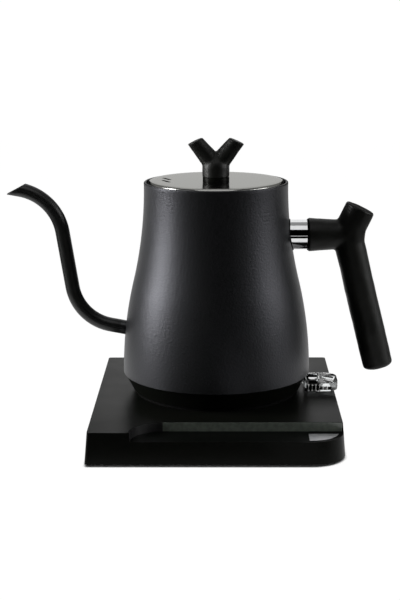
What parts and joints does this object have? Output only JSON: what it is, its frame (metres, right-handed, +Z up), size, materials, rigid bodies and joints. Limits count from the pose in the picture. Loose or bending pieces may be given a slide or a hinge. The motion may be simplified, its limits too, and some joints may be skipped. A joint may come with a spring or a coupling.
{
  "type": "electric gooseneck kettle",
  "caption": "Cordless electric kettle with a bell-shaped pot, slim gooseneck spout, branch-shaped handle and lid knob, lifting off a square power base with a front ledge.",
  "frame": {"origin": "on the kettle's axis, on the surface that the base's feet stand on", "axes": "+Z up, +X towards the handle, -X towards the spout, -Y towards the front ledge of the base"},
  "size_m": [0.2779, 0.201, 0.2076],
  "materials": {
    "black_coat": "satin black powder coat, fine texture",
    "lid_steel": "satin stainless steel",
    "bright_steel": "polished",
    "fixing_steel": "plain zinc-plated steel",
    "black_plastic": "fine matt texture",
    "branch_plastic": "semi-gloss black, slightly uneven like a peeled branch",
    "gloss_black": "high gloss",
    "plate_metal": "satin",
    "spreader_metal": "plain cast",
    "white_plastic": "plain heat-resistant moulding",
    "contact_brass": "plain",
    "black_rubber": "matt",
    "seal_silicone": "translucent white silicone",
    "clear_plastic": "clear moulded plastic",
    "lamp_glass": "clear capsule"
  },
  "bodies": {
    "base": {"base_housing": "black_plastic", "bottom_cover": "black_plastic", "base_feet": "black_rubber", "cover_screws": "fixing_steel", "ledge_panel": "gloss_black", "ledge_end_plate": "plate_metal", "base_socket": "black_plastic", "socket_contacts": "contact_brass", "socket_screws": "fixing_steel", "cord_gland": "black_rubber"},
    "kettle": {"kettle_body": "black_coat", "spout_tube": "black_coat", "spout_root_ring": "bright_steel", "bottom_skirt": "black_plastic", "skirt_screws": "fixing_steel", "bottom_plate": "lid_steel", "plate_studs": "fixing_steel", "heat_spreader": "spreader_metal", "heating_element": "fixing_steel", "steam_tube": "lid_steel", "steam_tube_seal": "seal_silicone", "control_unit": "white_plastic", "bimetal_disc": "fixing_steel", "indicator_lamp": "lamp_glass", "connector_shell": "black_plastic", "connector_contacts": "contact_brass", "lever_pin": "fixing_steel", "handle_stud": "fixing_steel", "handle_collar": "bright_steel", "collar_washer": "black_rubber", "grip_insert": "contact_brass", "handle_grip": "branch_plastic"},
    "lid": {"lid_plate": "lid_steel", "lid_ring": "lid_steel", "lid_seal": "seal_silicone", "knob_collar": "black_plastic", "lid_knob": "branch_plastic", "knob_insert": "contact_brass", "knob_washer": "fixing_steel", "knob_screw": "fixing_steel"},
    "switch": {"switch_lever": "clear_plastic"}
  },
  "joints": [
    {"name": "kettle_lift", "type": "slide", "parent": "base", "child": "kettle", "axis": [0, 0, 1], "range_m": [0, 0.12]},
    {"name": "lid_lift", "type": "slide", "parent": "kettle", "child": "lid", "axis": [0, 0, 1], "range_m": [0, 0.08]},
    {"name": "switch_rock", "type": "hinge", "parent": "kettle", "child": "switch", "pos_m": [0.057, 0, 0.031], "axis": [0, -1, 0], "range_deg": [0, 12]}
  ]
}
